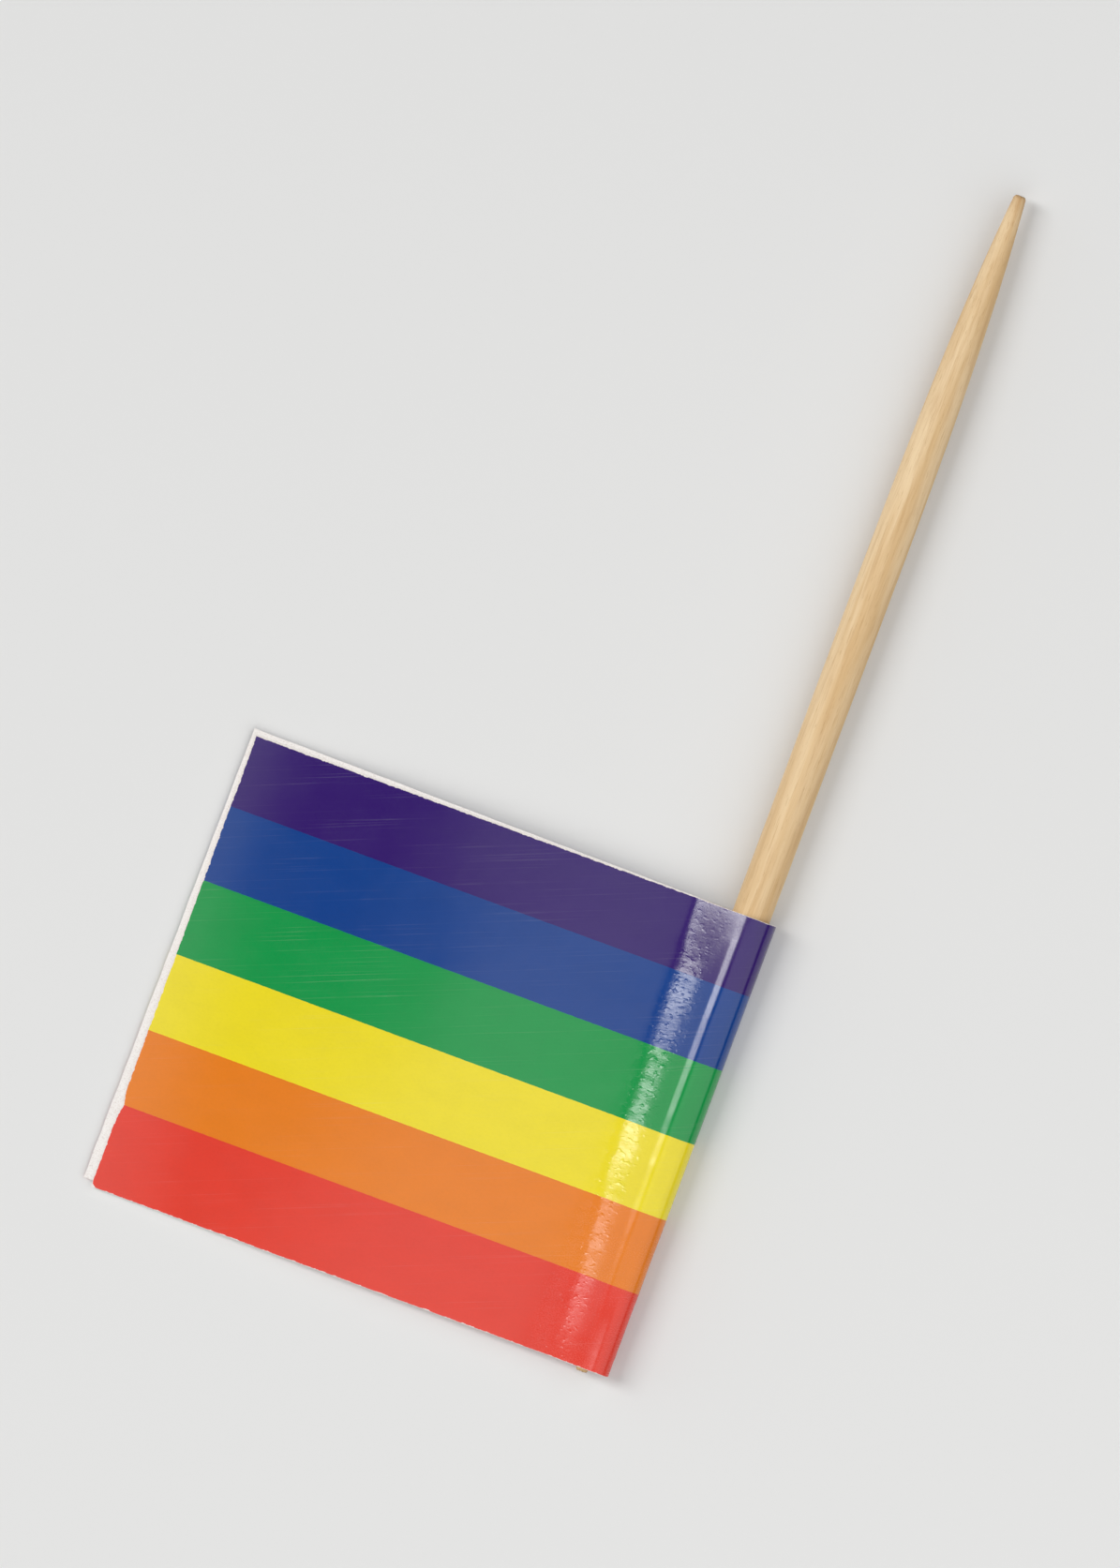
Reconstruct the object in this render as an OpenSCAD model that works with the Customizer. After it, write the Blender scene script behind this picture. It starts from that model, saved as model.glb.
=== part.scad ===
// Flag toothpick: a double-pointed wooden pick with one strip of printed paper
// folded round its upper end and glued to itself.
// It lies on a table with its front side up. The pick runs along Y with the flag
// at the +Y end, the flag flies towards +X, and the table is the plane Z = 0.

/* [Pick] */
// Length of the pick from tip to tip
pick_len = 68; // [60:0.5:90]
// Diameter of the straight barrel in the middle of the pick
pick_d = 2.12; // [1.8:0.02:3]
// Length of the curved taper at each end
taper_len = 27; // [14:0.5:29]
// Fullness of the taper, from 1 for a plain cone upwards
taper_fullness = 3.4; // [2:0.1:5]
// Diameter of the blunt tips
tip_d = 0.66; // [0.5:0.02:1.2]
// Radius of the rounded rim at the very end of each tip
tip_round = 0.16; // [0.06:0.02:0.24]

/* [Paper] */
// Length of the front leaf from the fold to its free edge
leaf_len = 30; // [20:0.5:45]
// Height of the strip, along the pick
leaf_h = 26; // [24:0.5:36]
// Thickness of the paper
paper_t = 0.13; // [0.08:0.01:0.3]
// How much longer the back leaf is than the front leaf
back_overhang = 0.25; // [0:0.05:1]
// How far each leaf is turned in its plane, because the strip was folded a little askew
fold_skew = 0.33; // [0:0.01:1]

/* [Wrap] */
// Clearance between the wood and the paper round it
wrap_gap = 0.05; // [0.03:0.01:0.12]
// How far the fold stands off from a tight wrap, on the side away from the leaves
fold_slack = 0.24; // [0:0.02:0.6]
// Outside diameter of the fold at the upper edge, where the pick is thin
fold_top_d = 1.6; // [0.8:0.05:2]
// Distance from the outside of the wrap to the line where the two leaves come together flat
seam_run = 1.5; // [1.3:0.05:6]
// How far the pick's upper tip stands out of the wrap
tip_out = 0.3; // [0.1:0.05:2]

/* [Stripes] */
// Height of each of the four middle stripes
stripe_h = 4.29; // [2:0.01:4.9]
// Height of the lowest stripe, from the lower edge
low_stripe_h = 4; // [2:0.01:4.2]

/* [Hidden] */

WOOD = [0.86, 0.72, 0.54];
// Stripe colours from the lower edge to the upper edge
STRIPES = [[0.27, 0.18, 0.43], [0.08, 0.29, 0.54], [0.12, 0.6, 0.32],
           [0.93, 0.86, 0.2], [0.89, 0.49, 0.18], [0.87, 0.23, 0.2]];
FRONT = 1;
BACK = -1;

// Steps along a taper, round the rim of a tip, along a stripe, round one side of the wrap,
// and along a leaf's bend between the wrap and the seam
taper_steps = 14;
rim_steps = 3;
stripe_steps = 2;
wrap_steps = 16;
bend_steps = 8;
// Tries in which the angle of that bend settles
bend_tries = 8;

// Outside radius of the paper where it is tight on the barrel
wrap_r = pick_d / 2 + wrap_gap + paper_t;
// The outermost line of the fold, and the line where the leaves meet
hoist_x = -wrap_r - fold_slack;
seam_x = wrap_r + seam_run;
// The strip's upper and lower edges along the pick
top_y = pick_len / 2 - tip_out;
low_y = top_y - leaf_h;
// Heights above the lower edge at which each stripe starts, with the upper edge last
stripe_at = [0, for (i = [0:len(STRIPES) - 2]) low_stripe_h + i * stripe_h, leaf_h];

// The lowest corner of the back leaf, and how the part lies on it and on the wrap
corner_x = free_edge_x(BACK, leaf_h);
lie_angle = max(lie_on(-fold_slack), lie_on(0));
lie_height = corner_x * sin(lie_angle) + paper_t * cos(lie_angle);
middle_x = ((corner_x - fold_slack) * cos(lie_angle) - wrap_r) / 2;

// Tilt at which a wrap centred on x and the back leaf's corner touch one plane
function lie_on(x) =
    asin(wrap_r / norm([corner_x - x, paper_t])) - atan2(paper_t, corner_x - x);

// Radius of the pick at a distance from its nearer tip
function pick_r(s) =
    pick_d / 2 - (pick_d - tip_d) / 2 * pow(1 - min(s, taper_len) / taper_len, taper_fullness);

// Outline of one tapered end, as [radius, distance from the tip]: a flat, its rim, and the
// taper, whose steps lie closer together where it bends more
function end_outline() = concat(
    [[0, 0]],
    [for (i = [0:rim_steps - 1])
        let (a = 90 * i / rim_steps)
        [pick_r(tip_round) - tip_round * (1 - sin(a)), tip_round * (1 - cos(a))]],
    [for (i = [0:taper_steps])
        let (s = taper_len - (taper_len - tip_round) * pow(1 - i / taper_steps, 2 / taper_fullness))
        [pick_r(s), s]]);

// Where a leaf's free edge is at a height v above the strip's lower edge
function free_edge_x(side, v) =
    hoist_x + (leaf_len + (side == BACK ? back_overhang : 0)) * cos(fold_skew)
    - side * v * sin(fold_skew);

// The two round forms that the paper goes over at a height v, as [centre, outside radius]:
// the fold, which gets tighter towards the upper edge, and the pick
function fold_r(v) = wrap_r + (fold_top_d / 2 - wrap_r) * v / leaf_h;
function round_forms(v) = [
    [hoist_x + fold_r(v), fold_r(v)],
    [0, pick_r(leaf_h + tip_out - v) + wrap_gap + paper_t]];

// Slope at which a leaf comes off a round form when one even bend brings it flat to the seam
function leave_slope(form, tries = bend_tries) = tries == 0 ? 0 :
    let (c = cos(leave_slope(form, tries - 1)))
    asin((form[1] * (1 + c * c) - 2 * paper_t * c) / (seam_x - form[0]));

// Height at a share t of a bend that starts at a height and a slope and ends flat at a height
function bend_z(t, from, slope, to, run) =
    from + (to - from) * t * t * (3 - 2 * t) - tan(slope) * run * t * (1 - t) * (1 - t);

// The form that reaches furthest in a direction
function furthest(forms, a) =
    forms[0][0] * cos(a) + forms[0][1] >= forms[1][0] * cos(a) + forms[1][1] ? forms[0] : forms[1];

// One face of a leaf at a height v, from the fold over the pick to the seam and the free edge:
// inset is 0 for the outside of the paper and the paper's thickness for its inside
function leaf_line(side, v, inset) =
    let (forms = round_forms(v),
         slope = max([for (f = forms) leave_slope(f)]),
         wrap = [for (i = [0:wrap_steps])
             let (a = 180 - (90 + slope) * i / wrap_steps, f = furthest(forms, a))
             [f[0] + (f[1] - inset) * cos(a), (f[1] - inset) * sin(a)]],
         off = wrap[wrap_steps],
         run = seam_x - off[0],
         bend = [for (i = [1:bend_steps])
             let (t = i / bend_steps)
             [off[0] + run * t, bend_z(t, off[1], slope, paper_t - inset, run)]])
    concat(wrap, bend, [[free_edge_x(side, v), paper_t - inset]]);

// The same line in space: a leaf turns away from square to the pick once it is off the fold
function leaf_points(side, v, inset) = [for (p = leaf_line(side, v, inset))
    [p[0], low_y + v + side * max(0, p[0] - hoist_x - paper_t) * tan(fold_skew), side * p[1]]];

// Two triangles for a four-cornered face, seen from its outside on the front leaf
function quad(a, b, c, d) = [[a, b, c], [a, c, d]];

// Lays a part that was made flat, with the pick on the Y axis, down on the table
module lay_down() {
    translate([-middle_x, 0, lie_height]) rotate([0, lie_angle, 0]) children();
}

module pick() {
    lower_end = end_outline();
    upper_end = [for (i = [len(lower_end) - 1:-1:0])
        [lower_end[i][0], pick_len - lower_end[i][1]]];
    color(WOOD) lay_down() translate([0, -pick_len / 2, 0]) rotate([-90, 0, 0])
        rotate_extrude($fn = 96) polygon(concat(lower_end, upper_end));
}

// One leaf, from the fold to its free edge, between two heights on the strip
module leaf(side, low, high) {
    levels = [for (j = [0:stripe_steps]) low + (high - low) * j / stripe_steps];
    lines = [for (v = levels) each [leaf_points(side, v, 0), leaf_points(side, v, paper_t)]];
    n = len(lines[0]);
    // Index of a point on the outside (0) or the inside (1) of a level
    function at(j, face, i) = (2 * j + face) * n + i;
    rows = [for (j = [0:stripe_steps - 1]) each concat(
        [for (i = [0:n - 2]) each concat(
            quad(at(j, 0, i), at(j + 1, 0, i), at(j + 1, 0, i + 1), at(j, 0, i + 1)),
            quad(at(j, 1, i), at(j, 1, i + 1), at(j + 1, 1, i + 1), at(j + 1, 1, i)))],
        quad(at(j, 0, 0), at(j, 1, 0), at(j + 1, 1, 0), at(j + 1, 0, 0)),
        quad(at(j, 0, n - 1), at(j + 1, 0, n - 1), at(j + 1, 1, n - 1), at(j, 1, n - 1)))];
    ends = [for (i = [0:n - 2]) each concat(
        quad(at(0, 0, i), at(0, 0, i + 1), at(0, 1, i + 1), at(0, 1, i)),
        quad(at(stripe_steps, 0, i), at(stripe_steps, 1, i),
             at(stripe_steps, 1, i + 1), at(stripe_steps, 0, i + 1)))];
    faces = concat(rows, ends);
    polyhedron([for (line = lines) each line],
               side == FRONT ? faces : [for (f = faces) [f[2], f[1], f[0]]]);
}

module flag() {
    lay_down() for (i = [0:len(STRIPES) - 1]) color(STRIPES[i])
        for (side = [FRONT, BACK]) leaf(side, stripe_at[i], stripe_at[i + 1]);
}

pick();
flag();
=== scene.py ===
"""Dresses the flag toothpick: a turned birch pick with a printed strip folded round its upper end."""
import logging
import math
from dataclasses import dataclass, replace
from enum import Enum
from typing import Any, Union

import bpy
import numpy as np
from mathutils import Euler, Matrix, Vector


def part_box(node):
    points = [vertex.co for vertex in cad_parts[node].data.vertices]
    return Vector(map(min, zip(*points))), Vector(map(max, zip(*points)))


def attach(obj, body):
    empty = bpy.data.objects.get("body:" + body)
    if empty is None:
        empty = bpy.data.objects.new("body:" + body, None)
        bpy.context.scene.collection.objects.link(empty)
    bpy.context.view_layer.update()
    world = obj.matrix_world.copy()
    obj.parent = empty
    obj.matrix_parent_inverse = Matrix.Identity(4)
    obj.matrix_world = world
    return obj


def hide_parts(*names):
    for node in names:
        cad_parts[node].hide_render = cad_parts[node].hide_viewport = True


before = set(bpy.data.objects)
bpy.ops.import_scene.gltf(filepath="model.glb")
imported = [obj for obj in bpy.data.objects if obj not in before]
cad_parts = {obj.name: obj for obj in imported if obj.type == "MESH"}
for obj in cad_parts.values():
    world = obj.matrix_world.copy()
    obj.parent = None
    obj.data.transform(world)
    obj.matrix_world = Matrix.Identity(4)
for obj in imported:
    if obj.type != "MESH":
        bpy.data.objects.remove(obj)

MM = 0.001
BODY = "root"
Colour = tuple[float, float, float, float]
Pair = tuple[float, float]
Number = Union[float, "Socket"]

log = logging.getLogger("flag_toothpick")


class Side(Enum):
    """The two leaves of the folded strip, with the sign of their outward direction."""

    FRONT = 1
    BACK = -1


class Slot(Enum):
    """The material slots of the record."""

    WOOD = "wood"
    PAPER = "printed_paper"


def srgb(red: int, green: int, blue: int) -> Colour:
    """Turns a colour of 0 to 255 into the linear colour that a shader takes.

    Args:
        red: Red part.
        green: Green part.
        blue: Blue part.

    Returns:
        The linear colour with full alpha.
    """
    def linear(part: int) -> float:
        """Linear value of one part."""
        share = part / 255
        return share / 12.92 if share <= 0.04045 else ((share + 0.055) / 1.055) ** 2.4

    return linear(red), linear(green), linear(blue), 1.0


class Socket:
    """An output of a node. Arithmetic on it adds Math nodes to its tree."""

    def __init__(self, tree: "NodeTree", output: bpy.types.NodeSocket) -> None:
        """Keeps the tree and the output that the socket stands for."""
        self.tree = tree
        self.output = output

    def _math(self, operation: str, first: Number, second: Number) -> "Socket":
        """Adds one Math node with two operands."""
        return self.tree.add("ShaderNodeMath", {"operation": operation}, {0: first, 1: second})

    def __add__(self, other: Number) -> "Socket":
        """Sum, with the socket on either side."""
        return self._math("ADD", self, other)

    __radd__ = __add__

    def __sub__(self, other: Number) -> "Socket":
        """Difference."""
        return self._math("SUBTRACT", self, other)

    def __rsub__(self, other: Number) -> "Socket":
        """Difference, with the socket on the right."""
        return self._math("SUBTRACT", other, self)

    def __mul__(self, other: Number) -> "Socket":
        """Product, with the socket on either side."""
        return self._math("MULTIPLY", self, other)

    __rmul__ = __mul__

    def __truediv__(self, other: Number) -> "Socket":
        """Quotient."""
        return self._math("DIVIDE", self, other)

    def __rtruediv__(self, other: Number) -> "Socket":
        """Quotient, with the socket on the right."""
        return self._math("DIVIDE", other, self)

    def __pow__(self, other: Number) -> "Socket":
        """Power."""
        return self._math("POWER", self, other)

    def least(self, other: Number) -> "Socket":
        """The smaller of two values."""
        return self._math("MINIMUM", self, other)

    def most(self, other: Number) -> "Socket":
        """The larger of two values."""
        return self._math("MAXIMUM", self, other)

    def size(self) -> "Socket":
        """The value without its sign."""
        return self._math("ABSOLUTE", self, 0.0)

    def sign(self) -> "Socket":
        """One or minus one, after the value's sign."""
        return self._math("SIGN", self, 0.0)

    def root(self) -> "Socket":
        """Square root."""
        return self._math("SQRT", self, 0.0)

    def sine(self) -> "Socket":
        """Sine of an angle in radians."""
        return self._math("SINE", self, 0.0)

    def cosine(self) -> "Socket":
        """Cosine of an angle in radians."""
        return self._math("COSINE", self, 0.0)

    def smooth(self, low: Number, high: Number, start: float = 0.0, end: float = 1.0) -> "Socket":
        """Eases from one value to another while this one goes from low to high.

        Args:
            low: Value at which the change starts.
            high: Value at which it ends.
            start: Result below low.
            end: Result above high.

        Returns:
            The eased value.
        """
        inputs = {"Value": self, "From Min": low, "From Max": high, "To Min": start, "To Max": end}
        return self.tree.add("ShaderNodeMapRange", {"interpolation_type": "SMOOTHSTEP"}, inputs)

    def fade(self, low: Number, high: Number) -> "Socket":
        """Eases from 1 to 0 while this value goes from low to high."""
        return self.smooth(low, high, 1.0, 0.0)


@dataclass(frozen=True)
class Grain:
    """One layer of noise in a finish or on a form.

    It has the size of its grains along X, Y and Z, and the number and share of its finer layers. Its
    mask goes from 0 to 1 over the range seen. The rest is what it does: the share of a colour that it
    mixes in, the height of its relief, what is added to that where the paper was bent, and how much
    it dulls the gloss.
    """

    sizes: tuple[float, float, float]
    detail: float = 2.0
    fineness: float = 0.5
    seen: Pair = (0.3, 0.7)
    share: float = 0.0
    relief: float = 0.0
    bent: float = 0.0
    dull: float = 0.0


class NodeTree:
    """A node tree whose nodes all come from one method."""

    def __init__(self, tree: bpy.types.NodeTree) -> None:
        """Wraps an empty tree."""
        self.tree = tree

    @staticmethod
    def _find(sockets: Any, key: int | str) -> bpy.types.NodeSocket:
        """Finds a socket by its place, or by its name among those in use."""
        named = (socket for socket in sockets if socket.name == key and socket.enabled)
        return sockets[key] if isinstance(key, int) else next(named)

    def add(self, kind: str, settings: dict[str, Any] | None = None,
            inputs: dict[int | str, Any] | None = None, output: int | str = 0) -> Socket:
        """Adds a node.

        Args:
            kind: The node's type.
            settings: Its own settings, set first. The key stops gives a ramp's stops.
            inputs: Values or links of its sockets, by name or place.
            output: The output that is wanted.

        Returns:
            The wanted output, or the first input of a node that has no output.
        """
        node = self.tree.nodes.new(kind)
        for name, value in (settings or {}).items():
            if name == "stops":
                self._fill_ramp(node.color_ramp, value)
            else:
                setattr(node, name, value)
        for key, value in (inputs or {}).items():
            socket = self._find(node.inputs, key)
            if isinstance(value, Socket):
                self.tree.links.new(value.output, socket)
            else:
                socket.default_value = value
        ends = node.outputs if len(node.outputs) else node.inputs
        return Socket(self, self._find(ends, output))

    @staticmethod
    def _fill_ramp(ramp: bpy.types.ColorRamp, stops: list[tuple[float, Colour]]) -> None:
        """Gives a ramp its stops, with hard changes between them.

        Args:
            ramp: The ramp.
            stops: Place and colour of each stop.
        """
        ramp.interpolation = "CONSTANT"
        while len(ramp.elements) < len(stops):
            ramp.elements.new(1.0)
        for element, (place, colour) in zip(ramp.elements, stops):
            element.position = place
            element.color = colour

    def mix(self, factor: Number, first: Any, second: Any, blend: str = "MIX") -> Socket:
        """Mixes two colours.

        Args:
            factor: Share of the second colour.
            first: A colour or a socket.
            second: A colour or a socket.
            blend: How they are mixed.

        Returns:
            The mixed colour.
        """
        return self.add("ShaderNodeMix", {"data_type": "RGBA", "blend_type": blend},
                        {"Factor": factor, "A": first, "B": second}, "Result")

    def vector(self, operation: str, first: Any, second: Any) -> Socket:
        """Adds one Vector Math node with two vectors."""
        return self.add("ShaderNodeVectorMath", {"operation": operation}, {0: first, 1: second})

    def part(self, vector: Any, axis: str) -> Socket:
        """One part of a vector: its X, Y or Z."""
        return self.add("ShaderNodeSeparateXYZ", None, {"Vector": vector}, axis)

    def noise(self, place: Any, grain: Grain) -> Socket:
        """Adds a layer of noise.

        Args:
            place: The vector at which it is read, in the unit of the layer's sizes.
            grain: The layer.

        Returns:
            The noise, from 0 to 1 with its mean at 0.5.
        """
        scaled = self.vector("MULTIPLY", place, [1 / size for size in grain.sizes])
        inputs = {"Vector": scaled, "Scale": 1.0, "Detail": grain.detail, "Roughness": grain.fineness}
        return self.add("ShaderNodeTexNoise", None, inputs, "Fac")

    def mask(self, place: Any, grain: Grain) -> Socket:
        """Adds a layer of noise and eases it to a mask over the range in which it is seen."""
        return self.noise(place, grain).smooth(*grain.seen)

    def surface(self, inputs: dict[str, Any], relief: Socket | None = None, depth: float = 0.0) -> None:
        """Ends a material with its shader, and with a bump where it has relief.

        Args:
            inputs: Values or links of the shader's sockets.
            relief: Height of the surface, as a share of the depth.
            depth: The depth.
        """
        if relief is not None:
            bump = {"Strength": 1.0, "Distance": depth, "Height": relief}
            inputs = inputs | {"Normal": self.add("ShaderNodeBump", None, bump)}
        finish = self.add("ShaderNodeBsdfPrincipled", None, inputs)
        self.add("ShaderNodeOutputMaterial", None, {"Surface": finish})


def placed(name: str, data: Any) -> bpy.types.Object:
    """Makes an object and links it to the scene.

    Args:
        name: Name of the object.
        data: Its mesh, light or camera.

    Returns:
        The object, at the origin.
    """
    piece = bpy.data.objects.new(name, data)
    bpy.context.scene.collection.objects.link(piece)
    return piece


def shader(name: str) -> tuple[bpy.types.Material, NodeTree]:
    """Makes an empty material.

    Args:
        name: The material's name.

    Returns:
        The material and its tree.
    """
    material = bpy.data.materials.new(name)
    material.use_nodes = True
    material.node_tree.nodes.clear()
    return material, NodeTree(material.node_tree)


class Recipe(NodeTree):
    """A Geometry Nodes tree with named inputs, which is run once into a plain mesh."""

    KINDS = {float: "NodeSocketFloat", int: "NodeSocketInt", Vector: "NodeSocketVector",
             bpy.types.Material: "NodeSocketMaterial"}

    def __init__(self, name: str) -> None:
        """Makes the tree with its group input.

        Args:
            name: Name of the tree.
        """
        super().__init__(bpy.data.node_groups.new(name, "GeometryNodeTree"))
        self.tree.interface.new_socket("Geometry", in_out="OUTPUT", socket_type="NodeSocketGeometry")
        self.values: dict[str, Any] = {}
        self.entry = self.tree.nodes.new("NodeGroupInput")

    def knob(self, name: str, value: Any) -> Socket:
        """Adds a named input.

        Args:
            name: Name of the input.
            value: Its value on the modifier.

        Returns:
            The input as a socket of the tree.
        """
        kind = next(word for base, word in self.KINDS.items() if isinstance(value, base))
        item = self.tree.interface.new_socket(name, in_out="INPUT", socket_type=kind)
        self.values[item.identifier] = value
        return Socket(self, next(s for s in self.entry.outputs if s.identifier == item.identifier))

    def knobs(self, maker: Any, prefix: str, names: tuple[str, ...]) -> list[Socket]:
        """Adds a named input for each of a maker's sizes.

        Args:
            maker: What has the sizes as its fields.
            prefix: First word of the inputs' names.
            names: The fields' names.

        Returns:
            The inputs as sockets of the tree.
        """
        return [self.knob(f"{prefix} {name}", getattr(maker, name)) for name in names]

    def chance(self, low: float, high: float, seed: Socket) -> Socket:
        """Adds a random value between two bounds, a new one at each point."""
        return self.add("FunctionNodeRandomValue", {"data_type": "FLOAT"},
                        {"Min": low, "Max": high, "Seed": seed}, "Value")

    def xyz(self, x: Number, y: Number, z: Number) -> Socket:
        """Joins three values into a vector."""
        return self.add("ShaderNodeCombineXYZ", None, {"X": x, "Y": y, "Z": z})

    def end(self, geometry: Socket, material: Socket) -> None:
        """Realizes the instances, sets the material and links the result to the output.

        Args:
            geometry: What the tree has made.
            material: Its material.
        """
        real = self.add("GeometryNodeRealizeInstances", None, {"Geometry": geometry})
        dressed = self.add("GeometryNodeSetMaterial", None, {"Geometry": real, "Material": material})
        self.add("NodeGroupOutput", None, {"Geometry": dressed})

    def run(self, name: str) -> bpy.types.Object:
        """Runs the tree once.

        Args:
            name: Name of the object.

        Returns:
            An object at the origin with the result as a plain mesh.
        """
        piece = placed(name, bpy.data.meshes.new(name))
        modifier = piece.modifiers.new(name, "NODES")
        modifier.node_group = self.tree
        for identifier, value in self.values.items():
            modifier[identifier] = list(value) if isinstance(value, Vector) else value
        evaluated = piece.evaluated_get(bpy.context.evaluated_depsgraph_get())
        mesh = bpy.data.meshes.new_from_object(evaluated)
        piece.modifiers.remove(modifier)
        piece.data = mesh
        mesh.name = name
        return piece


def eased(share: float | np.ndarray) -> float | np.ndarray:
    """Goes smoothly from 0 to 1 while the share does."""
    held = np.clip(share, 0.0, 1.0)
    return held * held * (3 - 2 * held)


@dataclass(frozen=True)
class Unevenness:
    """Smooth random heights over a sheet, from -1 to 1, on a seeded grid of knots."""

    step_u: float
    step_v: float
    seed: int
    knots: int = 64

    def at(self, u: np.ndarray, v: np.ndarray) -> np.ndarray:
        """Reads the heights.

        Args:
            u: Places along the sheet.
            v: Places across it.

        Returns:
            The height at each place.
        """
        table = np.random.default_rng(self.seed).uniform(-1, 1, (self.knots, self.knots))
        place_u, place_v = np.broadcast_arrays(u / self.step_u, v / self.step_v)
        low_u, low_v = np.floor(place_u).astype(int), np.floor(place_v).astype(int)
        share_u, share_v = place_u - low_u, place_v - low_v
        ease_u = share_u ** 3 * (share_u * (share_u * 6 - 15) + 10)
        ease_v = share_v ** 3 * (share_v * (share_v * 6 - 15) + 10)

        def knot(du: int, dv: int) -> np.ndarray:
            """Heights of the knots at one corner of each cell."""
            return table[(low_u + du) % self.knots, (low_v + dv) % self.knots]

        near = knot(0, 0) * (1 - ease_u) + knot(1, 0) * ease_u
        far = knot(0, 1) * (1 - ease_u) + knot(1, 1) * ease_u
        return near * (1 - ease_v) + far * ease_v

    def along(self, u: Any, turn: int) -> np.ndarray:
        """Reads the heights along a line, from another draw for each turn."""
        return replace(self, seed=self.seed + turn).at(np.asarray(u), np.zeros(np.shape(u)))


@dataclass(frozen=True)
class Birch:
    """Finish of the pick: sanded birch with its grain along the pick. Sizes are in metres."""

    pale: Colour = srgb(239, 212, 170)
    warm: Colour = srgb(219, 183, 133)
    fibre: Colour = srgb(192, 148, 97)
    tip: Colour = srgb(188, 146, 97)
    broad: Grain = Grain((0.9 * MM, 16 * MM, 0.9 * MM), 3, 0.6)
    streak: Grain = Grain((0.22 * MM, 5 * MM, 0.22 * MM), 3, 0.6, (0.45, 0.75), share=0.34, relief=0.5)
    fine: Grain = Grain((0.06 * MM, 1.6 * MM, 0.06 * MM), 2, 0.55, (0.52, 0.8), share=0.5, relief=0.5,
                        dull=0.16)
    pore: Grain = Grain((0.06 * MM, 0.6 * MM, 0.06 * MM), 1, 0.5, (0.62, 0.78), share=0.4, relief=0.4)
    tip_reach: float = 1.6 * MM
    tip_share: float = 0.7
    tip_streaks: Pair = (0.2, 0.7)
    tip_least: float = 0.45
    grain_depth: float = 0.012 * MM
    roughness: float = 0.62
    specular: float = 0.35

    def material(self, middle: Vector, length: float) -> bpy.types.Material:
        """Builds the material.

        Args:
            middle: Centre of the pick.
            length: Length of the pick.

        Returns:
            The material.
        """
        material, tree = shader("Birch")
        place = tree.add("ShaderNodeTexCoord", None, None, "Object")
        place = tree.vector("SUBTRACT", place, list(middle))
        streak = tree.noise(place, self.streak)
        fine = tree.noise(place, self.fine)
        pore = tree.mask(place, self.pore)

        colour = tree.mix(tree.mask(place, self.broad), self.warm, self.pale)
        colour = tree.mix(streak.smooth(*self.streak.seen) * self.streak.share, colour, self.fibre)
        colour = tree.mix(fine.smooth(*self.fine.seen) * self.fine.share, colour, self.fibre)
        colour = tree.mix(pore * self.pore.share, colour, self.tip)
        from_tip = length / 2 - tree.part(place, "Y").size()
        worn = from_tip.fade(0.0, self.tip_reach) * streak.smooth(*self.tip_streaks, self.tip_least)
        colour = tree.mix(worn * self.tip_share, colour, self.tip)

        relief = fine * self.fine.relief + streak * self.streak.relief - pore * self.pore.relief
        tree.surface({"Base Color": colour, "Roughness": self.roughness + fine * self.fine.dull,
                      "Specular IOR Level": self.specular}, relief, self.grain_depth)
        return material


@dataclass(frozen=True)
class BarePaper:
    """Finish of the strip's unprinted inside and of its cut edges. Sizes are in metres."""

    white: Colour = srgb(244, 240, 236)
    shade: Colour = srgb(222, 212, 206)
    fibres: Grain = Grain((0.09 * MM, 0.05 * MM, 0.05 * MM), 3, 0.6, (0.45, 0.75))
    fibre_depth: float = 0.006 * MM
    roughness: float = 0.82
    specular: float = 0.3

    def material(self) -> bpy.types.Material:
        """Builds the material.

        Returns:
            The material.
        """
        material, tree = shader("Bare_Paper")
        fibres = tree.noise(tree.add("ShaderNodeTexCoord", None, None, "Object"), self.fibres)
        colour = tree.mix(fibres.smooth(*self.fibres.seen), self.white, self.shade)
        tree.surface({"Base Color": colour, "Roughness": self.roughness,
                      "Specular IOR Level": self.specular}, fibres, self.fibre_depth)
        return material


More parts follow.
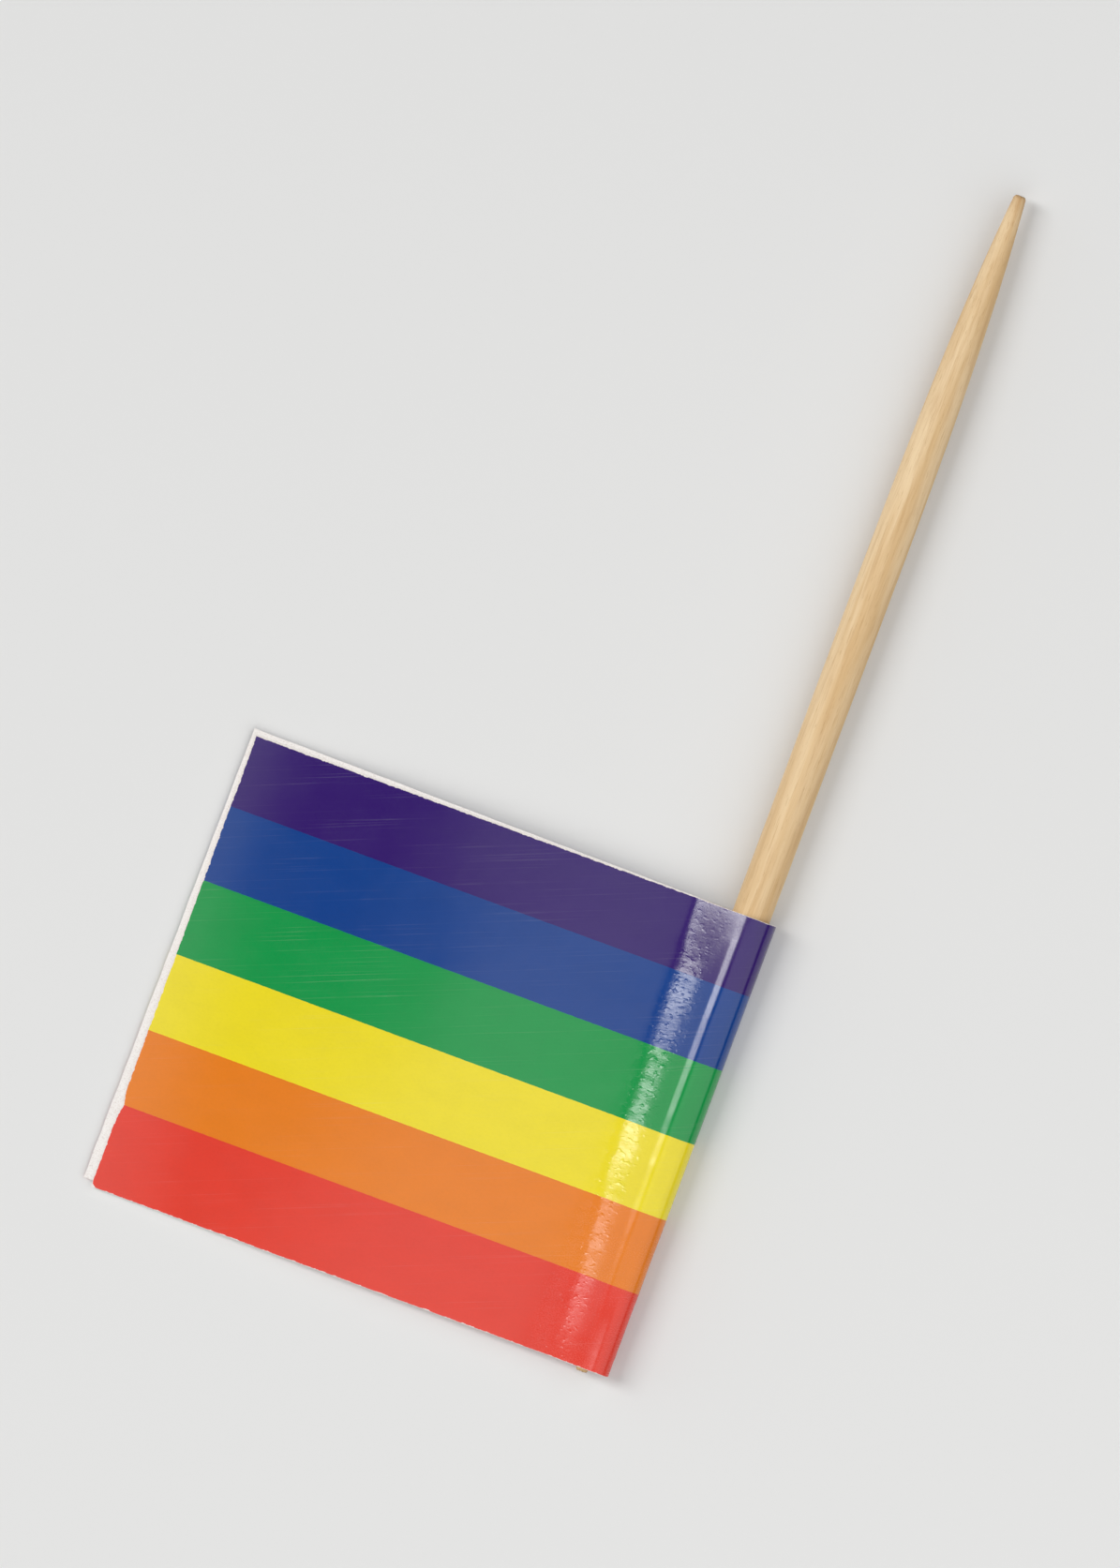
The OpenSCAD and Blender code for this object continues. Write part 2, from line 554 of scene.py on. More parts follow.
@dataclass(frozen=True)
class Print:
    """Finish of the strip's outside: six inks on gloss-coated paper.

    The stripes, the wander, the chip and the depth are in metres. The layers of noise, chip_edge, and
    the stretches from the fold and from the lower edge are in millimetres on the flat strip. A pair is
    where a change starts and where it ends.
    """

    inks: tuple[Colour, ...] = (
        srgb(48, 14, 106), srgb(0, 61, 138), srgb(0, 149, 69),
        srgb(239, 220, 30), srgb(233, 126, 18), srgb(228, 58, 39))
    low_stripe: float = 4.0 * MM
    stripe: float = 4.29 * MM
    wander: float = 0.02 * MM
    wobble: Grain = Grain((0.25, 0.25, 1.0))
    deepening: Colour = (0.8, 0.8, 0.8, 1.0)
    cloud: Grain = Grain((2.6, 1.8, 1.0), 3, 0.6, (0.35, 0.7), share=0.16)
    grain: Grain = Grain((0.2, 0.14, 1.0), 2, 0.6, (0.4, 0.75), share=0.14)

    bare: Colour = srgb(238, 228, 224)
    chip: float = 0.07 * MM
    ragged: Grain = Grain((0.34, 0.34, 1.0), 3, 0.6, (0.4, 0.85))
    chip_edge: float = 0.025
    chip_dull: float = 0.4
    patches: Grain = Grain((3.2, 2.2, 1.0), 2, 0.6, (0.35, 0.65), dull=0.025)
    scuffs: Grain = Grain((9.0, 0.11, 1.0), 1.5, 0.5, (0.56, 0.8), share=0.04, relief=0.02, dull=0.06)
    scuff_slant: float = math.radians(22)
    scuff_least: float = 0.2
    # Painted sheen: the bend near the lower edge holds the glossy highlight, and there the ink is mixed
    # towards bare paper. This paints the highlight's pale haze into the colour.
    sheen_from: Pair = (2.2, 2.7)
    sheen_to: Pair = (4.6, 5.2)
    sheen_up: Pair = (0.5, 4.2)
    sheen_least: float = 0.4
    sheen_share: float = 0.11

    bend_from: Pair = (2.9, 3.9)
    bend_to: Pair = (4.9, 6.0)
    bend_up: Pair = (1.5, 4.5)
    bend_least: float = 0.4
    bend_dull: float = 0.02
    waves: Grain = Grain((0.9, 0.75, 1.0), 1.5, 0.5, relief=0.06, bent=0.4)
    streaks: Grain = Grain((0.35, 0.12, 1.0), 2, 0.6, (0.2, 0.8), relief=0.012, bent=0.08)
    pits: Grain = Grain((0.1, 0.07, 1.0), 2, 0.6, relief=0.04, bent=0.01, dull=0.08)
    specks: Grain = Grain((0.34, 0.24, 1.0), 1, 0.5, (0.54, 0.76), bent=0.26)
    relief_depth: float = 0.05 * MM

    gloss: float = 0.13
    wrap_to: Pair = (4.9, 7.5)
    low_haze: Pair = (0.5, 3.0)
    low_dull: float = 0.02
    high_haze: Pair = (15.5, 19.5)
    high_dull: float = 0.07
    ior: float = 1.5
    specular: float = 0.55
    coat: float = 0.1
    coat_roughness: float = 0.12
    coat_ior: float = 1.45

    def _inked(self, tree: NodeTree, place: Socket, up: Socket, height: float) -> Socket:
        """Prints the six stripes, with slightly uneven inks.

        Args:
            tree: The material's tree.
            place: Place on the flat strip, in millimetres.
            up: Height above its lower edge, in millimetres.
            height: Height of the strip, in metres.

        Returns:
            The colour of the ink.
        """
        stops = [(0.0, self.inks[0])]
        for i, ink in enumerate(self.inks[1:]):
            stops.append(((self.low_stripe + i * self.stripe) / height, ink))
        wobble = tree.noise(place, self.wobble) - 0.5
        share = (up + wobble * (2 * self.wander / MM)) / (height / MM)
        ink = tree.add("ShaderNodeValToRGB", {"stops": stops}, {"Fac": share}, "Color")
        deep = tree.mix(1.0, ink, self.deepening, "MULTIPLY")
        cloud = tree.mask(place, self.cloud) * self.cloud.share
        return tree.mix(cloud + tree.mask(place, self.grain) * self.grain.share, ink, deep)

    def material(self, strip: float, height: float) -> bpy.types.Material:
        """Builds the material, which reads the strip's own map.

        Args:
            strip: Flat length of the strip, in metres.
            height: Height of the strip, in metres.

        Returns:
            The material.
        """
        material, tree = shader("Striped_Print")
        spot = tree.add("ShaderNodeUVMap", {"uv_map": FoldedFlag.MAP})
        place = tree.vector("MULTIPLY", spot, [strip / MM, height / MM, 0.0])
        up = tree.part(place, "Y")
        from_fold = (tree.part(place, "X") - strip / (2 * MM)).size()

        to_cut = tree.add("ShaderNodeAttribute", {"attribute_name": FoldedFlag.CUT}, None, "Fac")
        chipped = (to_cut - tree.mask(place, self.ragged) * (self.chip / MM)).fade(0.0, self.chip_edge)
        slanted = tree.add("ShaderNodeVectorRotate", {"rotation_type": "Z_AXIS"},
                           {"Vector": place, "Angle": self.scuff_slant})
        patches = tree.mask(place, self.patches)
        scuffs = tree.mask(slanted, self.scuffs) * (patches * (1 - self.scuff_least) + self.scuff_least)
        streaks = tree.noise(place, self.streaks)
        # Painted sheen: the pale haze of the highlight on the bend near the lower edge is painted as ink
        # mixed towards bare paper. The scuffs taken together with it below are real wear.
        painted_sheen = from_fold.smooth(*self.sheen_from) * from_fold.fade(*self.sheen_to) * up.fade(*self.sheen_up)
        painted_sheen = painted_sheen * streaks.smooth(*self.streaks.seen, self.sheen_least)
        pale = (scuffs * self.scuffs.share).most(painted_sheen * self.sheen_share)
        colour = tree.mix(chipped.most(pale), self._inked(tree, place, up, height), self.bare)

        bent = from_fold.smooth(*self.bend_from) * from_fold.fade(*self.bend_to)
        bent = bent * up.smooth(*self.bend_up, self.bend_least)
        pits = tree.noise(place, self.pits)
        layers = ((tree.noise(place, self.waves), self.waves), (streaks, self.streaks), (pits, self.pits))
        raised = [noise * (layer.relief + bent * layer.bent) for noise, layer in layers]
        sunk = tree.mask(place, self.specks) * bent * self.specks.bent
        relief = raised[0] + raised[1] + raised[2] - sunk - scuffs * self.scuffs.relief

        dulled = pits.smooth(*self.pits.seen) * self.pits.dull + scuffs * self.scuffs.dull
        dulled = dulled + patches * self.patches.dull + bent * self.bend_dull
        low = up.smooth(*self.low_haze, self.low_dull, 0.0)
        high = up.smooth(*self.high_haze, 0.0, self.high_dull)
        worn = chipped * self.chip_dull + (low + high) * from_fold.fade(*self.wrap_to)
        tree.surface({
            "Base Color": colour, "Roughness": self.gloss + dulled + worn, "IOR": self.ior,
            "Specular IOR Level": self.specular, "Coat Weight": self.coat,
            "Coat Roughness": self.coat_roughness, "Coat IOR": self.coat_ior}, relief, self.relief_depth)
        return material


@dataclass(frozen=True)
class Fibres:
    """The short fibres that stand off the pick's blunt tips. Lengths are in metres.

    density is how many a square metre would hold, and they stand where the surface lies within reach of
    a tip. lean turns them off the surface, and turn is how far they vary. point is the radius of their
    thin end as a share of their width, and the pairs are the least and the most of their length and
    width, as shares.
    """

    density: float = 1.4e7
    reach: float = 0.7 * MM
    length: float = 0.15 * MM
    width: float = 0.014 * MM
    point: float = 0.15
    sides: int = 5
    lean: float = 0.12
    turn: float = 0.06
    lengths: Pair = (0.25, 1.0)
    widths: Pair = (0.6, 1.6)


@dataclass
class TurnedPick:
    """The double-pointed pick. Sizes are in metres, and its place comes from the frame.

    It narrows to its tips over taper, and a larger fullness keeps it thick for longer. cap_share is the
    share of its rings that close each end, and crowding draws the others towards the tips. SEED_STEPS
    moves its noise for each seed.
    """

    taper: float = 27 * MM
    fullness: float = 3.4
    tip_radius: float = 0.33 * MM
    rim: float = 0.16 * MM
    tip_room: float = 0.08 * MM
    sides: int = 96
    rings: int = 281
    cap_share: float = 0.05
    crowding: float = 1.8
    weld: float = 0.001 * MM
    seed: int = 4
    waver: float = 0.03 * MM
    sway: Grain = Grain((40 * MM, 22 * MM, 40 * MM), 0)
    grain: float = 0.014 * MM
    ridges: Grain = Grain((0.3 * MM, 7 * MM, 0.3 * MM), 3, 0.6, relief=1.6)
    facets: Grain = Grain((1.5 * MM, 12 * MM, 1.5 * MM), 1, relief=1.6)
    facets_full: float = 3 * MM
    broken: float = 0.1 * MM
    crumble: Grain = Grain((0.11 * MM, 4 * MM, 0.11 * MM), 2, 0.7, (0.3, 0.75))
    break_reach: float = 0.7 * MM
    fibres: Fibres = Fibres()
    finish: Birch = Birch()

    SEED_STEPS = (0.013, 0.017, 0.011)

    def __post_init__(self) -> None:
        """Reads the pick's length, width and middle from the frame."""
        low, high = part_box("pick")
        self.middle = (low + high) / 2
        self.length = high.y - low.y
        self.radius = (high.x - low.x) / 2

    def radius_at(self, from_tip: float) -> float:
        """Radius of the pick at a distance from its nearer tip."""
        share = 1 - min(from_tip, self.taper) / self.taper
        return self.radius - (self.radius - self.tip_radius) * share ** self.fullness

    def _body(self, recipe: Recipe, seed: Socket) -> tuple[Socket, Socket]:
        """Adds the turned body, as a grid that is rolled into the taper's rule.

        Args:
            recipe: The tree.
            seed: The seed of its unevenness.

        Returns:
            The body's mesh and the length of the body.
        """
        length = recipe.knob("pick length", self.length - 2 * self.tip_room)
        radius, tip, taper, fullness, rim, middle = recipe.knobs(
            self, "pick", ("radius", "tip_radius", "taper", "fullness", "rim", "middle"))
        waver, grain, broken = recipe.knobs(self, "pick", ("waver", "grain", "broken"))
        rings, cap, crowding = recipe.knobs(self, "pick", ("rings", "cap_share", "crowding"))
        sides = recipe.knob("pick sides", self.sides + 1)

        sheet = recipe.add("GeometryNodeMeshGrid", None, {
            "Size X": 1.0, "Size Y": 1.0, "Vertices X": sides, "Vertices Y": rings}, "Mesh")
        spot = recipe.add("GeometryNodeInputPosition")
        turn = (recipe.part(spot, "X") + 0.5) * (2 * math.pi)
        along = recipe.part(spot, "Y") * 2.0
        inward = 1 - along.size()
        from_tip = (((inward - cap) / (1 - cap)).most(0.0) ** crowding) * length / 2
        rule = radius - (radius - tip) * ((1 - from_tip.least(taper) / taper) ** fullness)
        rounding = (1 - from_tip / rim).most(0.0)
        round_rim = rim * (1 - (1 - rounding * rounding).root())
        reach = (rule - round_rim) * (inward / cap).least(1.0)

        plain = recipe.xyz(turn.cosine() * reach, along.sign() * (length / 2 - from_tip),
                           turn.sine() * reach)
        step = recipe.xyz(*(seed * step for step in self.SEED_STEPS))
        shift = recipe.vector("ADD", plain, step)
        ridges = (recipe.noise(shift, self.ridges) - 0.5) * self.ridges.relief
        facets = (recipe.noise(shift, self.facets) - 0.5) * self.facets.relief
        full = (from_tip / self.facets_full).least(1.0)
        swell = grain * (ridges + facets * full) * (reach / radius).least(1.0)
        sway = recipe.noise(shift, self.sway) - 0.5
        sunk = broken * recipe.mask(shift, self.crumble) * from_tip.fade(0.0, self.break_reach)
        offset = recipe.xyz(turn.cosine() * swell + waver * sway, along.sign() * (0 - sunk),
                            turn.sine() * swell)
        place = recipe.vector("ADD", recipe.vector("ADD", plain, offset), middle)
        rolled = recipe.add("GeometryNodeSetPosition", None, {"Geometry": sheet, "Position": place})
        closed = recipe.add("GeometryNodeMergeByDistance", None,
                            {"Geometry": rolled, "Distance": self.weld})
        outward = recipe.add("GeometryNodeFlipFaces", None, {"Mesh": closed})
        return recipe.add("GeometryNodeSetShadeSmooth", None, {"Geometry": outward}), length

    def _splinters(self, recipe: Recipe, body: Socket, length: Socket, seed: Socket) -> Socket:
        """Adds the short fibres that stand off the blunt tips, as instances on the body.

        Args:
            recipe: The tree.
            body: The body's mesh.
            length: The body's length.
            seed: The seed of their places.

        Returns:
            The fibres' geometry.
        """
        kind = self.fibres
        density, reach, long, width = recipe.knobs(kind, "fibre", ("density", "reach", "length", "width"))
        along = recipe.part(recipe.add("GeometryNodeInputPosition"), "Y")
        near = recipe.add("FunctionNodeCompare", {"data_type": "FLOAT", "operation": "GREATER_THAN"},
                          {"A": along.size(), "B": length / 2 - reach}, "Result")
        inputs = {"Mesh": body, "Selection": near, "Density": density, "Seed": seed}
        points = recipe.add("GeometryNodeDistributePointsOnFaces", {"distribute_method": "RANDOM"},
                            inputs, "Points")
        normal = Socket(recipe, points.output.node.outputs["Normal"])
        lean = recipe.vector("MULTIPLY", normal, [kind.lean] * 3)
        to_tip = recipe.xyz(recipe.chance(-kind.turn, kind.turn, seed), along.sign(),
                            recipe.chance(-kind.turn, kind.turn, seed + 1))
        turn = recipe.add("FunctionNodeAlignRotationToVector", {"axis": "Z"},
                          {"Vector": recipe.vector("ADD", lean, to_tip)}, "Rotation")
        fibre = recipe.add("GeometryNodeMeshCone", None, {
            "Vertices": kind.sides, "Radius Top": width * kind.point, "Radius Bottom": width / 2,
            "Depth": long}, "Mesh")
        room = (self.length / 2 - along.size()) / long
        stretch = recipe.chance(*kind.lengths, seed + 2).least(room)
        scale = recipe.xyz(recipe.chance(*kind.widths, seed + 3),
                           recipe.chance(*kind.widths, seed + 4), stretch)
        return recipe.add("GeometryNodeInstanceOnPoints", None, {
            "Points": points, "Instance": fibre, "Rotation": turn, "Scale": scale})

    def build(self) -> bpy.types.Object:
        """Builds and dresses the pick.

        Returns:
            The pick, which stands for its plain solid.
        """
        recipe = Recipe("turned_pick_recipe")
        seed = recipe.knob("seed", self.seed)
        body, length = self._body(recipe, seed)
        splinters = self._splinters(recipe, body, length, seed)
        joined = recipe.add("GeometryNodeJoinGeometry", None, {"Geometry": body})
        recipe.tree.links.new(splinters.output, joined.output.node.inputs["Geometry"])
        material = self.finish.material(self.middle, self.length)
        recipe.end(joined, recipe.knob("material", material))
        piece = recipe.run("turned_pick")
        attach(piece, BODY)
        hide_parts("pick")
        return piece


@dataclass
class FoldedFlag:
    """The paper strip, folded round the pick's upper end and glued to itself.

    Sizes are in metres. In its own frame the pick's axis is Y, and a leaf lies on each side of Z = 0.
    Each curve of an outline has DENSE points, its slope is found in TRIES steps, and its crease is the
    mean of ROUND_STEPS shifts. BOW_PLACE and PAPER_PLACE shift the places where unevenness is read.
    """

    pick: TurnedPick
    leaf: float = 30 * MM
    height: float = 26 * MM
    paper: float = 0.13 * MM
    glue: float = 0.01 * MM
    overhang: float = 0.25 * MM
    skew: float = math.radians(0.33)
    gap: float = 0.05 * MM
    slack: float = 0.24 * MM
    fold_top: float = 0.8 * MM
    tip_out: float = 0.3 * MM
    seam_run: float = 1.5 * MM
    seam_waves: Unevenness = Unevenness(5.5 * MM, 1.0, 41)
    seam_wander: float = 0.25 * MM
    seam_pinch: float = 0.48 * MM
    pinch_from: float = 14 * MM
    pinch_to: float = 22 * MM
    seam_crease: float = math.radians(9)
    low_crease: float = math.radians(15)
    low_crease_end: float = 4.2 * MM
    seam_round: float = 0.4 * MM
    fine_step: float = 0.13 * MM
    fine_reach: float = 8 * MM
    leaf_step: float = 0.26 * MM
    row_step: float = 0.21 * MM
    bow: float = 0.25 * MM
    bow_fall: float = 0.7
    bow_waver: float = 0.2
    bow_waves: Unevenness = Unevenness(7 * MM, 9 * MM, 3)
    corner_curl: float = 0.07 * MM
    edge_curl: float = 0.14 * MM
    edge_reach: float = 5 * MM
    bent_reach: float = 6 * MM
    bent_fade: float = 4 * MM
    flat_share: float = 0.25
    coarse_depth: float = 0.006 * MM
    coarse_ripples: Unevenness = Unevenness(2.4 * MM, 1.5 * MM, 21)
    fine_depth: float = 0.0022 * MM
    fine_ripples: Unevenness = Unevenness(0.8 * MM, 0.45 * MM, 22)
    cut_wander: float = 0.03 * MM
    cut_waves: Unevenness = Unevenness(0.9 * MM, 1.0, 11)
    end_share: float = 0.6
    end_waves: Unevenness = Unevenness(0.7 * MM, 1.0, 31)
    dent: float = 0.12 * MM
    dent_reach: float = 0.45 * MM
    dent_stripes: int = 4
    print: Print = Print()
    inside: BarePaper = BarePaper()

    MAP = "Strip"
    CUT = "Distance_From_Cut"
    DENSE = 240
    TRIES = 8
    ROUND_STEPS = 9
    BOW_PLACE = 0.1
    PAPER_PLACE = 0.2

    def __post_init__(self) -> None:
        """Works out the fold, the seam, the lower edge and the tilt from the sizes and the frame."""
        self.wrap = self.pick.radius + self.gap + self.paper
        self.hoist = -self.wrap - self.slack
        self.seam = self.wrap + self.seam_run
        self.low_edge = self.pick.middle.y + self.pick.length / 2 - self.tip_out - self.height
        self.tilt = max(self._lie_on(-self.slack), self._lie_on(0.0))

    def _free_edge(self, side: Side, up: float) -> float:
        """Where a leaf's free edge is at a height above the strip's lower edge."""
        leaf = self.leaf + (self.overhang if side is Side.BACK else 0.0)
        return self.hoist + leaf * math.cos(self.skew) - side.value * up * math.sin(self.skew)

    def _lie_on(self, centre: float) -> float:
        """Tilt at which a wrap round a centre and the back leaf's corner touch one plane."""
        out = self._free_edge(Side.BACK, self.height) - centre
        return math.asin(self.wrap / math.hypot(out, self.paper)) - math.atan2(self.paper, out)

    def _forms(self, up: float) -> list[tuple[float, float]]:
        """The forms that the paper goes over at a height.

        Args:
            up: Height above the strip's lower edge.

        Returns:
            Centre and outer radius of the fold and of the wrapped pick.
        """
        fold = self.wrap + (self.fold_top - self.wrap) * up / self.height
        pick = self.pick.radius_at(self.height + self.tip_out - up) + self.gap + self.paper
        return [(self.hoist + fold, fold), (0.0, pick)]

    def _seam_at(self, side: Side, up: float) -> float:
        """Where a leaf's bend ends at a height, since the glued seam wanders a little."""
        wander = float(self.seam_waves.along(up, side.value))
        return self.seam + self.seam_wander * wander - self.seam_pinch * self._pinch_at(up)

    def _pinch_at(self, up: float) -> float:
        """Share of the pinch at a height: the seam comes closer where the pick gets thin."""
        return eased((up - self.pinch_from) / (self.pinch_to - self.pinch_from))

    def _crease_at(self, up: float) -> float:
        """Slope at which a leaf meets the seam: steepest low down, and none where it is pinched."""
        low = self.low_crease * (1 - eased(up / self.low_crease_end))
        return math.tan(low + self.seam_crease * (1 - self._pinch_at(up)))

    def _leave_slope(self, form: tuple[float, float], seam: float, crease: float) -> float:
        """Slope at which a leaf comes off a form, so that one even bend brings it to the seam's crease.

        Args:
            form: Centre and outer radius of the form.
            seam: Where the bend ends.
            crease: Slope of the bend there.

        Returns:
            The slope, in radians.
        """
        reach = seam - form[0]
        slope = 0.0
        for _ in range(self.TRIES):
            level = math.cos(slope)
            rise = form[1] * (1 + level * level) - 2 * self.paper * level
            rise -= crease * level * (reach - form[1] * math.sin(slope))
            slope = math.asin(rise / reach)
        return slope

    def _outline(self, side: Side, up: float, trim: float) -> np.ndarray:
        """The outer line of a leaf at one height.

        Args:
            side: The leaf.
            up: Height above the strip's lower edge.
            trim: How much is missing at the free edge.

        Returns:
            Points from the fold to the free edge, as rows of x and distance from the middle plane.
        """
        forms = self._forms(up)
        seam, crease = self._seam_at(side, up), self._crease_at(up)
        slope = max(self._leave_slope(form, seam, crease) for form in forms)
        angle = np.linspace(math.pi, math.pi / 2 - slope, self.DENSE)
        reach = [centre * np.cos(angle) + radius for centre, radius in forms]
        centre = np.where(reach[0] >= reach[1], forms[0][0], forms[1][0])
        radius = np.where(reach[0] >= reach[1], forms[0][1], forms[1][1])
        wrap = np.stack([centre + radius * np.cos(angle), radius * np.sin(angle)], 1)
        share = np.linspace(0, 1, self.DENSE)[1:]
        run = seam - wrap[-1, 0]
        drop = run * share * (1 - share) * (math.tan(slope) * (1 - share) - crease * share)
        bend = np.stack([wrap[-1, 0] + run * share,
                         wrap[-1, 1] + (self.paper - wrap[-1, 1]) * eased(share) - drop], 1)
        return np.concatenate([wrap, bend, [[self._free_edge(side, up) - trim, self.paper]]])

    def _softened(self, side: Side, up: float, x: np.ndarray, out: np.ndarray,
                  line: np.ndarray) -> np.ndarray:
        """Rounds the crease at the seam, which paper can't take sharply.

        Args:
            side: The leaf.
            up: Height above the strip's lower edge.
            x: Where the points are across the leaf.
            out: Their distance from the middle plane.
            line: The outline that they come from.

        Returns:
            The distance from the middle plane with the crease rounded.
        """
        shifts = np.linspace(-self.seam_round, self.seam_round, self.ROUND_STEPS)
        spread = np.mean([np.interp(x + shift, line[:, 0], line[:, 1]) for shift in shifts], axis=0)
        near = 1 - eased(np.abs(x - self._seam_at(side, up)) / (2 * self.seam_round))
        return out + near * np.maximum(spread - out, 0)

    def _stations(self) -> np.ndarray:
        """Works out where a leaf gets its points, which lie closer together round the pick.

        Returns:
            Shares of the leaf's length, from the fold to the free edge.
        """
        fine = np.arange(0, self.fine_reach, self.fine_step)
        total = self.leaf + self.wrap
        coarse = np.linspace(self.fine_reach, total, round((total - self.fine_reach) / self.leaf_step))
        return np.concatenate([fine, coarse]) / total

    def _trim(self, side: Side, up: float) -> float:
        """How far the cut of a free edge lies inside its straight line.

        Args:
            side: The leaf.
            up: Height above the strip's lower edge.

        Returns:
            The distance, which is largest in the front leaf's dent.
        """
        trim = self.cut_wander * (1 + float(self.cut_waves.along(up, side.value))) / 2
        if side is Side.FRONT:
            middle = self.print.low_stripe + self.dent_stripes * self.print.stripe
            trim += self.dent * math.exp(-((up - middle) / self.dent_reach) ** 2)
        return trim

    def _leaf_points(self, side: Side, rows: np.ndarray) -> tuple[np.ndarray, np.ndarray]:
        """Outer points of a leaf in the strip's own frame.

        Args:
            side: The leaf.
            rows: Heights of its rows.

        Returns:
            The points by row and station, and their distance along the paper from the fold.
        """
        stations = self._stations()
        points = np.zeros((len(rows), len(stations), 3))
        paths = np.zeros((len(rows), len(stations)))
        for j, up in enumerate(rows):
            line = self._outline(side, float(up), self._trim(side, float(up)))
            path = np.concatenate([[0], np.cumsum(np.hypot(*np.diff(line, axis=0).T))])
            wanted = stations * path[-1]
            x = np.interp(wanted, path, line[:, 0])
            out = self._softened(side, float(up), x, np.interp(wanted, path, line[:, 1]), line)
            shift = np.maximum(0, x - self.hoist - self.paper) * math.tan(self.skew)
            points[j] = np.stack([x, self.low_edge + up + side.value * shift, side.value * out], 1)
            paths[j] = wanted
        return points, paths

    def _relaxed(self, points: np.ndarray, rows: np.ndarray) -> np.ndarray:
        """Lifts the glued leaves together by their slight bow, waves and curls.

        Args:
            points: Points by row and station.
            rows: Heights of the rows.

        Returns:
            The lifted points.
        """
        end = self._free_edge(Side.BACK, 0.0)
        share = np.clip((points[..., 0] - self.seam) / (end - self.seam), 0, 1)
        up = (rows / self.height)[:, None]
        waves = self.bow_waves.at(points[..., 0] + self.BOW_PLACE, points[..., 1] + self.BOW_PLACE)
        bow = self.bow * (1 - self.bow_fall * up) + self.bow_waver * self.bow * waves
        lift = np.sin(math.pi * share) ** 2 * bow
        lift += self.corner_curl * share ** 3 * (1 - up) ** 2
        lift += self.edge_curl * np.clip(1 - (end - points[..., 0]) / self.edge_reach, 0, 1) ** 2
        moved = points.copy()
        moved[..., 2] += lift
        return moved

    @staticmethod
    def _normals(points: np.ndarray) -> np.ndarray:
        """Works out the outward normals of the strip.

        Args:
            points: Points by row and station.

        Returns:
            The normal at each point.
        """
        along, across = np.gradient(points, axis=1), np.gradient(points, axis=0)
        normals = np.cross(across, along)
        return normals / np.linalg.norm(normals, axis=2, keepdims=True)

    def _rippled(self, points: np.ndarray, path: np.ndarray, rows: np.ndarray) -> np.ndarray:
        """Sinks the fine ripples that the paper keeps where it was bent.

        Args:
            points: Points by row and station.
            path: Their distance along the paper from the fold.
            rows: Heights of the rows.

        Returns:
            The rippled points.
        """
        bent = 1 - np.clip((np.abs(path) - self.bent_reach) / self.bent_fade, 0, 1)
        up = np.broadcast_to(rows[:, None], path.shape)
        coarse = self.coarse_ripples.at(path + self.PAPER_PLACE, up)
        fine = self.fine_ripples.at(path + self.PAPER_PLACE, up)
        depth = self.coarse_depth * (1 + coarse) + self.fine_depth * (1 + fine)
        depth *= self.flat_share + (1 - self.flat_share) * bent
        return points - self._normals(points) * depth[..., None]

    def _laid(self, points: np.ndarray) -> np.ndarray:
        """Lays the strip down on the table, as the pick lies.

        Args:
            points: Points in the strip's own frame.

        Returns:
            The points in the shared frame.
        """
        cos, sin = math.cos(self.tilt), math.sin(self.tilt)
        x, y, z = points[..., 0], points[..., 1], points[..., 2]
        middle = self.pick.middle
        return np.stack([x * cos + z * sin + middle.x, y, z * cos - x * sin + middle.z], -1)

    def _surfaces(self) -> tuple[np.ndarray, np.ndarray, np.ndarray]:
        """Works out both faces of the folded strip.

        Returns:
            Outer points, inner points, and the flat place of each point as length and height.
        """
        rows = np.linspace(0, self.height, round(self.height / self.row_step) + 1)
        front, front_path = self._leaf_points(Side.FRONT, rows)
        back, back_path = self._leaf_points(Side.BACK, rows)
        outer = np.concatenate([front[:, ::-1], back[:, 1:]], axis=1)
        path = np.concatenate([-front_path[:, ::-1], back_path[:, 1:]], axis=1)
        outer = self._rippled(self._relaxed(outer, rows), path, rows)
        inner = outer - self._normals(outer) * (self.paper - self.glue / 2)
        for face in (outer, inner):
            self._cut_ends(face, path)
        flat = np.stack([path, np.broadcast_to(rows[:, None], path.shape)], -1)
        return self._laid(outer), self._laid(inner), flat

    def _cut_ends(self, face: np.ndarray, path: np.ndarray) -> None:
        """Lets the cuts of the lower and upper edges wander slightly inwards.

        Args:
            face: Points of one face by row and station, which are changed.
            path: Their distance along the paper from the fold.
        """
        for turn, (row, way) in enumerate(((0, 1), (-1, -1))):
            wander = self.end_waves.along(path[row] + self.PAPER_PLACE, turn)
            face[row, :, 1] += way * self.cut_wander * self.end_share * (1 + wander) / 2

    def _mesh(self, outer: np.ndarray, inner: np.ndarray, flat: np.ndarray) -> bpy.types.Mesh:
        """Joins both faces and the cut edges into one closed mesh.

        Args:
            outer: Outer points by row and station.
            inner: Inner points by row and station.
            flat: Flat place of each point.

        Returns:
            The mesh, with the print on its first material slot and bare paper on its second.
        """
        rows, stations = outer.shape[:2]
        count = rows * stations
        index = np.arange(count).reshape(rows, stations)

        def quads(a: np.ndarray, b: np.ndarray, c: np.ndarray, d: np.ndarray) -> np.ndarray:
            """Faces from four arrays of corners."""
            return np.stack([a, b, c, d], -1).reshape(-1, 4)

        printed = quads(index[:-1, :-1], index[1:, :-1], index[1:, 1:], index[:-1, 1:])
        bare = [printed[:, ::-1] + count]
        for rim in (index[0], index[:, -1], index[-1, ::-1], index[::-1, 0]):
            bare.append(quads(rim[:-1], rim[1:], rim[1:] + count, rim[:-1] + count))
        faces = np.concatenate([printed, *bare])

